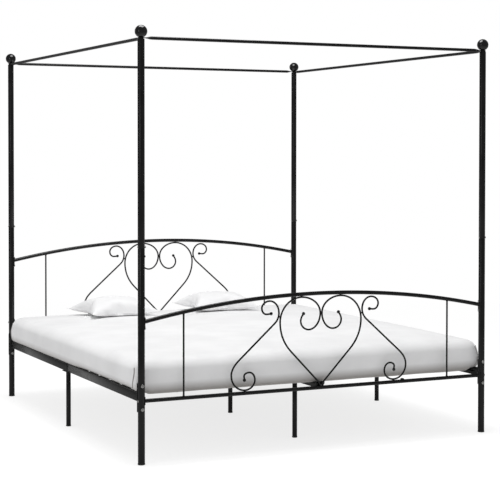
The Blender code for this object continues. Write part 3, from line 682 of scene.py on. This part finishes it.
def makeSideRail(end, side):
    node = f"side_rail_{end}_{side}"
    x, sign = sides[side] * postX, ends[end]
    low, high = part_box(node)
    centreZ = (low.z + high.z) / 2
    halfWidth, halfHeight = railSet["width"] / 2, railSet["height"] / 2
    seam = low.y if sign > 0 else high.y
    start = sign * (postY - postRadius - 0.0016)
    form = bmesh.new()
    addBar(form, (x - halfWidth, min(seam, start), centreZ - halfHeight),
           (x + halfWidth, max(seam, start), centreZ + halfHeight), railSet["round"])
    inner = abs(x) - halfWidth
    edges = sorted((sides[side] * (inner + 0.0004), sides[side] * (inner - railSet["ledge"])))
    run = sorted((sign * (postY - railSet["ledgeStart"]), sign * 0.010))
    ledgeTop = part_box("slat_07")[0].z - 0.0003
    addBar(form, (edges[0], run[0], ledgeTop - railSet["ledgeWall"]), (edges[1], run[1], ledgeTop), 0.0006)
    tag = end.capitalize() + side.capitalize()
    settle(meshPiece("sideRail" + tag, form, 30), blackCoat, standsFor=[node])
    facing, turn = -90.0 * sign, sign * sides[side]
    angles = sorted((facing + turn * railSet["outer"], facing - turn * railSet["inner"]))
    spot = (x, sign * postY, centreZ)
    bracket = curvedPlate("bracket" + tag, spot, angles, railSet["bracket"] / 2, railSet["wall"], railSet["corner"])
    settle(bracket, blackCoat)
    boltRail(tag, x, sign, centreZ)


def boltRail(tag, x, sign, centreZ):
    # two bolts through the post: heads on the -Y side of a foot post and inside a head post
    form = bmesh.new()
    skin = postRadius + plateSet["gap"] + railSet["wall"]
    for step in (-0.5, 0.5):
        z = centreZ + railSet["boltPitch"] * step
        near = postRadius if sign < 0 else skin
        far = skin if sign < 0 else postRadius
        addBoltHead(form, (x, sign * postY - near, z), (0, -1, 0))
        addNut(form, (x, sign * postY + far, z), (0, 1, 0))
    settle(meshPiece("bolts" + tag, form, 40), zinc)


def seamScrews():
    # one small screw through each post joint
    form = bmesh.new()
    for end in ends.values():
        for side in sides.values():
            spot = Vector((side * postX, end * postY, seamHeight + 0.0057))
            addBoltHead(form, spot - Vector((postRadius, 0, 0)), (-1, 0, 0), 0.55)
            addNut(form, spot + Vector((postRadius, 0, 0)), (1, 0, 0))
    settle(meshPiece("jointScrews", form, 40), zinc)


legSet = {"radius": 0.012, "plate": 0.004, "edge": 0.0008}


def makeLeg(node, name):
    low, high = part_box(node)
    x = (low.x + high.x) / 2
    y = 0 if "side" in node or "middle" in node else (low.y + high.y) / 2
    profile = tubeProfile(legSet["radius"], footDims["lip"], high.z - legSet["plate"] * 0.6, legSet["edge"])
    settle(turned(name, profile, (x, y, 0), steps=36), blackCoat, standsFor=[node])
    form = bmesh.new()
    addBar(form, (low.x, low.y, high.z - legSet["plate"]), (high.x, high.y, high.z), 0.0012)
    settle(meshPiece(name + "Plate", form, 30), blackCoat)
    settle(footCap(name + "Foot", (x, y, 0), legSet["radius"]), footPlastic)


hangerSet = {"half": 0.0245, "neck": 0.0145, "wall": 0.003, "rise": 0.012, "reach": 0.038}


def makeHanger():
    # upright plate behind the foot rail, wide at its top, with the ledge that carries the beam's end
    beamLow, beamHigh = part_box("centre_beam_foot")
    railBack, railTop = -postY + panelSet["railRadius"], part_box("footboard_bar_left")[0].z
    half, neck, wall = hangerSet["half"], hangerSet["neck"], hangerSet["wall"]
    top, bottom = beamHigh.z + hangerSet["rise"], beamLow.z - wall - 0.0003
    outline = [(neck, bottom), (neck, railTop - 0.001)]
    outline += bendPoints(outline[-1], (half, railTop + 0.001), (half, railTop + 0.012), 8)
    outline += [(half, top - 0.002)] + bendPoints((half, top - 0.002), (half, top), (half - 0.002, top), 4)
    outline += [(-x, z) for x, z in reversed(outline)]
    form = bmesh.new()
    rings = [[(x, y, z) for x, z in outline] for y in (railBack - 0.0005, railBack - 0.0005 + wall)]
    loft(form, rings)
    addBar(form, (-half, railBack, bottom), (half, railBack + hangerSet["reach"], bottom + wall), 0.0008)
    hanger = meshPiece("beamHanger", form, 30)
    settle(soften(hanger, 0.0006), blackCoat)
    form = bmesh.new()
    for x in (-0.010, 0.010):
        addBoltHead(form, (x, railBack + 0.024, bottom), (0, 0, -1), 0.6)
    settle(meshPiece("hangerScrews", form, 40), zinc)


capSet = {"grow": 0.0011, "length": 0.024}


def makeSlatCaps():
    # plastic ends on every slat, and on the far end of the beam
    form = bmesh.new()
    for number in range(1, 14):
        low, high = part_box(f"slat_{number:02d}")
        grow = capSet["grow"]
        for tip, sign in ((low.x, 1), (high.x, -1)):
            near, far = sorted((tip - sign * 0.0004, tip + sign * capSet["length"]))
            addBar(form, (near, low.y - grow, low.z - 0.0002), (far, high.y + grow, high.z + 0.0002), 0.0012, True)
    low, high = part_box("centre_beam_head")
    addBar(form, (low.x - 0.0008, high.y - 0.004, low.z - 0.0008), (high.x + 0.0008, high.y + 0.003, high.z), 0.002)
    settle(meshPiece("slatCaps", form, 30), footPlastic)


flangeSet = {"proud": 0.0014, "half": 0.0032}


def makeRailJoints():
    # end flanges where the two halves of a side rail are bolted together
    form, screws = bmesh.new(), bmesh.new()
    low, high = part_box("side_rail_foot_right")
    proud, half = flangeSet["proud"], flangeSet["half"]
    middle = (low.z + high.z) / 2
    reach = railSet["height"] / 2
    for sign in sides.values():
        x, wide = sign * postX, railSet["width"] / 2 + proud
        for near, far in ((-half, -0.0004), (0.0004, half)):
            addBar(form, (x - wide, near, middle - reach - 0.0001), (x + wide, far, middle + reach + proud), 0.0016)
        for y in (0.012, 0.044):
            addBoltHead(screws, (x, y, middle - reach - 0.0046), (0, 0, -1), 0.7)
    settle(meshPiece("railFlanges", form, 30), blackCoat)
    settle(meshPiece("shoeScrews", screws, 40), zinc)


for end in ends:
    for side in sides:
        makePost(end, side)
        makeFinial(end, side)
        makeSideRail(end, side)
    makePanel(end)
for place in ("foot", "head", "left", "right"):
    makeCanopyRail(place)
seamScrews()
makeHanger()
makeSlatCaps()
makeRailJoints()
for side in sides:
    makeLeg(f"side_rail_leg_{side}", f"sideLeg{side.capitalize()}")
for place in ("foot", "middle", "head"):
    makeLeg(f"centre_leg_{place}", f"centreLeg{place.capitalize()}")
for name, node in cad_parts.items():
    if name.startswith(("slat_", "centre_beam")):
        node.data.materials.clear()
        node.data.materials.append(slatCoat)
print("steel frame built")


mattressSet = {"cells": (110, 110, 20), "crowding": 1.5, "topEdge": 0.060, "lowEdge": 0.024, "nearEdge": 0.042,
               "shed": 0.018, "bulge": 0.004, "droop": 0.0142, "overRail": 0.0034, "wave": 0.0020}


def blockPoint(point, half, edge):
    core = Vector([max(-(h - edge), min(h - edge, c)) for c, h in zip(point, half)])
    out = point - core
    return core + out.normalized() * edge if out.length > 1e-9 else point


def mattressPoint(unit, half):
    look = mattressSet
    lowEdge = look["lowEdge"]
    if unit.x < 0:  # the near corner stands a little prouder of its rail
        lowEdge += (look["nearEdge"] - lowEdge) * ease(-unit.y, 0.05, 0.35) * (1 - ease(-unit.y, 0.9, 1.0))
    edge = lowEdge + (look["topEdge"] - lowEdge) * ease(unit.z, -0.5, 0.45)
    point = blockPoint(Vector([u * h for u, h in zip(unit, half)]), half, edge)
    u, v, w = point.x / half.x, point.y / half.y, point.z / half.z
    point.z -= look["shed"] * max(0, w) * (1 - (1 - u ** 4) * (1 - v ** 4))
    belly = look["bulge"] * (1 - w * w)
    point.x += belly * math.copysign(abs(u) ** 8, u)
    point.y += belly * math.copysign(abs(v) ** 8, v)
    slow = noise.noise(Vector((point.x * 2.6, point.y * 2.6, point.z * 7)) + Vector((4, 7, 2)))
    fine = noise.noise(Vector((point.x * 9, point.y * 9, point.z * 5)) + Vector((1, 3, 8)))
    skirt = ease(-w, -0.5, 0.7)
    side = Vector((math.copysign(abs(u) ** 7, u), math.copysign(abs(v) ** 7, v), 0))
    point += side * look["wave"] * (0.9 * slow + 0.8 * fine * skirt)
    point.z += look["wave"] * 0.7 * slow * max(0, w) ** 3
    if w < 0:
        under = ease(-w, 0.5, 1.0)
        hang = ease(-point.y, half.y - 0.062, half.y - 0.030)
        hang *= 1 - ease(abs(point.x), half.x - 0.075, half.x - 0.040)
        point.z -= under * hang * (look["droop"] + 0.0014 * noise.noise(Vector((point.x * 6, 2, 5))))
        rest = look["overRail"] * ease(abs(point.x), half.x - 0.036, half.x - 0.027)
        point.z = max(point.z, -half.z + rest - under * hang * look["droop"] * 1.1)
    return point


def makeMattress():
    low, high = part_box("mattress")
    middle, half = (low + high) / 2, (high - low) / 2
    form = bmesh.new()
    bmesh.ops.create_cube(form, size=2)
    for axis, count in enumerate(mattressSet["cells"]):
        run = [edge for edge in form.edges if abs((edge.verts[0].co - edge.verts[1].co)[axis]) > 1]
        bmesh.ops.subdivide_edges(form, edges=run, cuts=count - 1, use_grid_fill=True)
    for vertex in form.verts:
        unit = vertex.co.copy()
        for axis in (0, 1):  # closer rows near the edges, where the sheet turns
            unit[axis] = math.copysign(1 - (1 - abs(unit[axis])) ** mattressSet["crowding"], unit[axis])
        vertex.co = mattressPoint(unit, half) + middle
    mattress = meshPiece("sheetedMattress", form, 80)
    smoothing = mattress.modifiers.new("softness", "SUBSURF")
    smoothing.levels = 1
    smoothing.render_levels = 1
    settle(mattress, sheetCotton, "mattress", ["mattress"])


cornerSeam = {"thread": 0.0026, "reach": (0.032, 0.040), "curve": 0.018, "start": -0.93, "rise": 0.115,
              "steps": 18}


def makeSheetSeams():
    # the sheet's corner pockets: a curved seam up each side of every corner, in a dark grey thread that is painted
    # shade for the seam's groove
    low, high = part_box("mattress")
    middle, half = (low + high) / 2, (high - low) / 2
    for end, endSign in ends.items():
        for side, sideSign in sides.items():
            tag = end.capitalize() + side.capitalize()
            for along in (0, 1):
                points = []
                for step in range(cornerSeam["steps"] + 1):
                    share = step / cornerSeam["steps"]
                    w = cornerSeam["start"] + share * cornerSeam["rise"] / half.z
                    drift = cornerSeam["reach"][along] - cornerSeam["curve"] * math.sin(math.pi * share * 0.8)
                    unit = Vector((sideSign, endSign, w))
                    unit[along] *= 1 - drift / half[along]
                    points.append(mattressPoint(unit, half) + middle)
                seam = rod(f"sheetSeam{tag}{'XY'[along]}", points, cornerSeam["thread"], roundness=2)
                settle(seam, seamThreadPaintedShade, "mattress")


makeMattress()
makeSheetSeams()
print("mattress and fitted sheet made")


pillowSet = {"cells": 54, "spare": 1.09, "loft": 0.016, "waist": 0.035, "pressure": 3.0, "frames": 20,
             "flatten": 0.34, "ironing": 7, "sag": 0.017, "thread": 0.0012}


def pillowCase(name, size):
    # two flat panels that share their rim
    count = pillowSet["cells"]
    form = bmesh.new()
    layers = []
    for layer in (1, -1):
        grid = []
        for row in range(count + 1):
            line = []
            for column in range(count + 1):
                u, v = 2 * column / count - 1, 2 * row / count - 1
                rim = row in (0, count) or column in (0, count)
                if rim and layers:
                    line.append(layers[0][row][column])
                    continue
                lens = (1 - u ** 4) * (1 - v ** 4)
                pull = 1 - pillowSet["waist"] * (1 - u * u) * v ** 6
                pullSide = 1 - pillowSet["waist"] * (1 - v * v) * u ** 6
                line.append(form.verts.new((u * size.x / 2 * pullSide, v * size.y / 2 * pull,
                                            0 if rim else layer * pillowSet["loft"] * lens)))
            grid.append(line)
        layers.append(grid)
        for row in range(count):
            for column in range(count):
                corners = [grid[row][column], grid[row][column + 1], grid[row + 1][column + 1], grid[row + 1][column]]
                form.faces.new(corners if layer > 0 else corners[::-1])
    rim = [layers[0][0][c] for c in range(count + 1)] + [layers[0][r][count] for r in range(1, count + 1)]
    rim += [layers[0][count][c] for c in range(count - 1, -1, -1)] + [layers[0][r][0] for r in range(count - 1, 0, -1)]
    form.verts.index_update()
    rimIndex = [vertex.index for vertex in rim]
    mesh = bpy.data.meshes.new(name)
    form.to_mesh(mesh)
    form.free()
    return bpy.data.objects.new(name, mesh), rimIndex


def stuff(piece, rim):
    # inflate the case as cloth, then keep the result as its mesh
    bpy.context.scene.collection.objects.link(piece)
    cloth = piece.modifiers.new("stuffing", "CLOTH")
    cloth.settings.quality = 6
    cloth.settings.mass = 0.25
    cloth.settings.tension_stiffness = 18
    cloth.settings.compression_stiffness = 18
    cloth.settings.shear_stiffness = 6
    cloth.settings.bending_stiffness = 0.35
    cloth.settings.use_pressure = True
    cloth.settings.uniform_pressure_force = pillowSet["pressure"]
    cloth.settings.effector_weights.gravity = 0
    cloth.point_cache.frame_start = 1
    cloth.point_cache.frame_end = pillowSet["frames"] + 1
    for tick in range(1, pillowSet["frames"] + 1):
        bpy.context.scene.frame_set(tick)
    graph = bpy.context.evaluated_depsgraph_get()
    full = bpy.data.meshes.new_from_object(piece.evaluated_get(graph))
    piece.modifiers.clear()
    bpy.context.scene.frame_set(1)
    form = bmesh.new()
    form.from_mesh(full)
    inner = [vertex for vertex in form.verts if vertex.index not in rim]
    for _ in range(pillowSet["ironing"]):
        bmesh.ops.smooth_vert(form, verts=inner, factor=0.5, use_axis_x=True, use_axis_y=True, use_axis_z=True)
    form.to_mesh(full)
    form.free()
    piece.data = full


def makePillow(side, turn):
    low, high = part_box(f"pillow_{side}")
    size, middle = high - low, (low + high) / 2
    name = "pillow" + side.capitalize()
    piece, rim = pillowCase(name, size * pillowSet["spare"])
    stuff(piece, rim)
    fitPillow(piece.data, size, middle, turn)
    piece.data.shade_smooth()
    smoothing = piece.modifiers.new("softness", "SUBSURF")
    smoothing.levels = 1
    smoothing.render_levels = 1
    settle(piece, caseCotton, f"pillow_{side}", [f"pillow_{side}"])
    points = [piece.data.vertices[index].co.copy() for index in rim]
    seam = rod(name + "Seam", points, pillowSet["thread"], roundness=2)
    seam.data.splines[0].use_cyclic_u = True
    settle(seam, caseCotton, f"pillow_{side}")


def fitPillow(mesh, size, middle, turn):
    # flatten the underside where it lies, then bring the case to its place and size
    spots = [vertex.co.copy() for vertex in mesh.vertices]
    top = max(spot.z for spot in spots)
    for spot in spots:
        if spot.z < 0:
            spot.z *= pillowSet["flatten"]
    bottom = min(spot.z for spot in spots)
    reach = [max(abs(spot[axis]) for spot in spots) for axis in range(2)]
    scale = Vector((size.x / 2 / reach[0], size.y / 2 / reach[1], size.z / (top - bottom)))
    swing = Matrix.Rotation(math.radians(turn), 3, "Z")
    for vertex, spot in zip(mesh.vertices, spots):
        placed = Vector((spot.x * scale.x, spot.y * scale.y, (spot.z - bottom) * scale.z))
        across, along = placed.x * 2 / size.x, placed.y * 2 / size.y
        sag = pillowSet["sag"] * along * along * max(0, 1 - across ** 4)  # long edges sink, points stay up
        placed.z = max(placed.z - sag, 0.0) - size.z / 2
        vertex.co = swing @ placed + middle
    mesh.update()


makePillow("left", 3)
makePillow("right", -2)
print("pillows stuffed")


studioSet = {"glow": 0.765, "spill": 0.50, "floor": 0.32, "ambient": 0.60, "mirrored": 0.20, "key": 126,
             "side": 9, "strip": 8}


def makeFloor():
    form = bmesh.new()
    bmesh.ops.create_grid(form, x_segments=8, y_segments=8, size=40)
    floor = meshPiece("studioFloor", form)
    floor.location.z = -0.0005
    bpy.context.scene.collection.objects.link(floor)
    material, tree, shader = nodeMaterial("paleFloor")
    tone = noiseOn(tree, 0.8, 2)
    grey = studioSet["floor"]
    colour = ramp(tree, tone.outputs["Fac"], (grey * 0.97,) * 3, (grey,) * 3)
    tree.links.new(colour.outputs["Color"], shader.inputs["Base Color"])
    shader.inputs["Roughness"].default_value = 0.8
    shader.inputs["Specular IOR Level"].default_value = 0.0
    shader.inputs["Emission Color"].default_value = (1, 1, 1, 1)
    path = add(tree, "ShaderNodeLightPath")
    gloss = rangeOf(tree, path.outputs["Is Glossy Ray"], studioSet["spill"], studioSet["mirrored"], 0, 1)
    glow = add(tree, "ShaderNodeMix")
    glow.inputs[3].default_value = studioSet["glow"]
    tree.links.new(path.outputs["Is Camera Ray"], glow.inputs[0])
    tree.links.new(gloss, glow.inputs[2])
    tree.links.new(glow.outputs[0], shader.inputs["Emission Strength"])
    spot = add(tree, "ShaderNodeTexCoord")
    far = add(tree, "ShaderNodeVectorMath", operation="LENGTH")
    tree.links.new(spot.outputs["Object"], far.inputs[0])
    fade = rangeOf(tree, far.outputs["Value"], 0, 1, 2.2, 6.5)
    white = add(tree, "ShaderNodeEmission")
    shine = rangeOf(tree, path.outputs["Is Glossy Ray"], 1, studioSet["mirrored"], 0, 1)
    tree.links.new(shine, white.inputs["Strength"])
    mix = add(tree, "ShaderNodeMixShader")
    tree.links.new(fade, mix.inputs["Fac"])
    tree.links.new(shader.outputs["BSDF"], mix.inputs[1])
    tree.links.new(white.outputs["Emission"], mix.inputs[2])
    tree.links.new(mix.outputs["Shader"], tree.nodes["Material Output"].inputs["Surface"])
    floor.data.materials.append(material)


def softLight(name, spot, aim, size, power):
    light = bpy.data.lights.new(name, "AREA")
    light.shape = "RECTANGLE"
    light.size, light.size_y = size
    light.energy = power
    lamp = bpy.data.objects.new(name, light)
    lamp.location = spot
    lamp.rotation_mode = "QUATERNION"
    lamp.rotation_quaternion = (Vector(spot) - Vector(aim)).to_track_quat("Z", "Y")
    bpy.context.scene.collection.objects.link(lamp)


def makeSky():
    # white to the eye, softer as a light, and dimmer still in the gloss of the coat
    world = bpy.data.worlds.new("studio")
    world.use_nodes = True
    tree = world.node_tree
    path = add(tree, "ShaderNodeLightPath")
    shades = []
    for strength in (studioSet["ambient"], studioSet["mirrored"], 1.0):
        shade = add(tree, "ShaderNodeBackground")
        shade.inputs["Color"].default_value = (1, 1, 1, 1)
        shade.inputs["Strength"].default_value = strength
        shades.append(shade.outputs["Background"])
    last = shades[0]
    for ray, shade in (("Is Glossy Ray", shades[1]), ("Is Camera Ray", shades[2])):
        mix = add(tree, "ShaderNodeMixShader")
        tree.links.new(path.outputs[ray], mix.inputs["Fac"])
        tree.links.new(last, mix.inputs[1])
        tree.links.new(shade, mix.inputs[2])
        last = mix.outputs["Shader"]
    tree.links.new(last, tree.nodes["World Output"].inputs["Surface"])
    bpy.context.scene.world = world


makeFloor()
makeSky()
softLight("overhead", (-0.4, -0.4, 4.6), (0, 0, 0.3), (2.4, 2.4), studioSet["key"])
softLight("leftBox", (-5.5, -3.5, 2.8), (0, 0, 0.9), (1.2, 3.0), studioSet["side"])
softLight("strip", (-4.6, -3.2, 1.7), (-0.9, -1.0, 1.3), (0.7, 1.3), studioSet["strip"])

# long lens, a little above the mattress, from the left of the foot end
cameraSet = {"spot": (-3.2738, -7.1294, 1.3941), "tilt": -1.377, "turn": -25.436, "roll": -0.043,
             "lens": 104.774, "shift": -0.12}
lens = bpy.data.cameras.new("studioCamera")
lens.lens = cameraSet["lens"]
lens.shift_y = cameraSet["shift"]
camera = bpy.data.objects.new("studioCamera", lens)
camera.location = cameraSet["spot"]
camera.rotation_euler = (math.radians(90 + cameraSet["tilt"]), math.radians(cameraSet["roll"]),
                         math.radians(cameraSet["turn"]))
bpy.context.scene.collection.objects.link(camera)
bpy.context.scene.camera = camera
bpy.context.scene.view_settings.view_transform = "Standard"
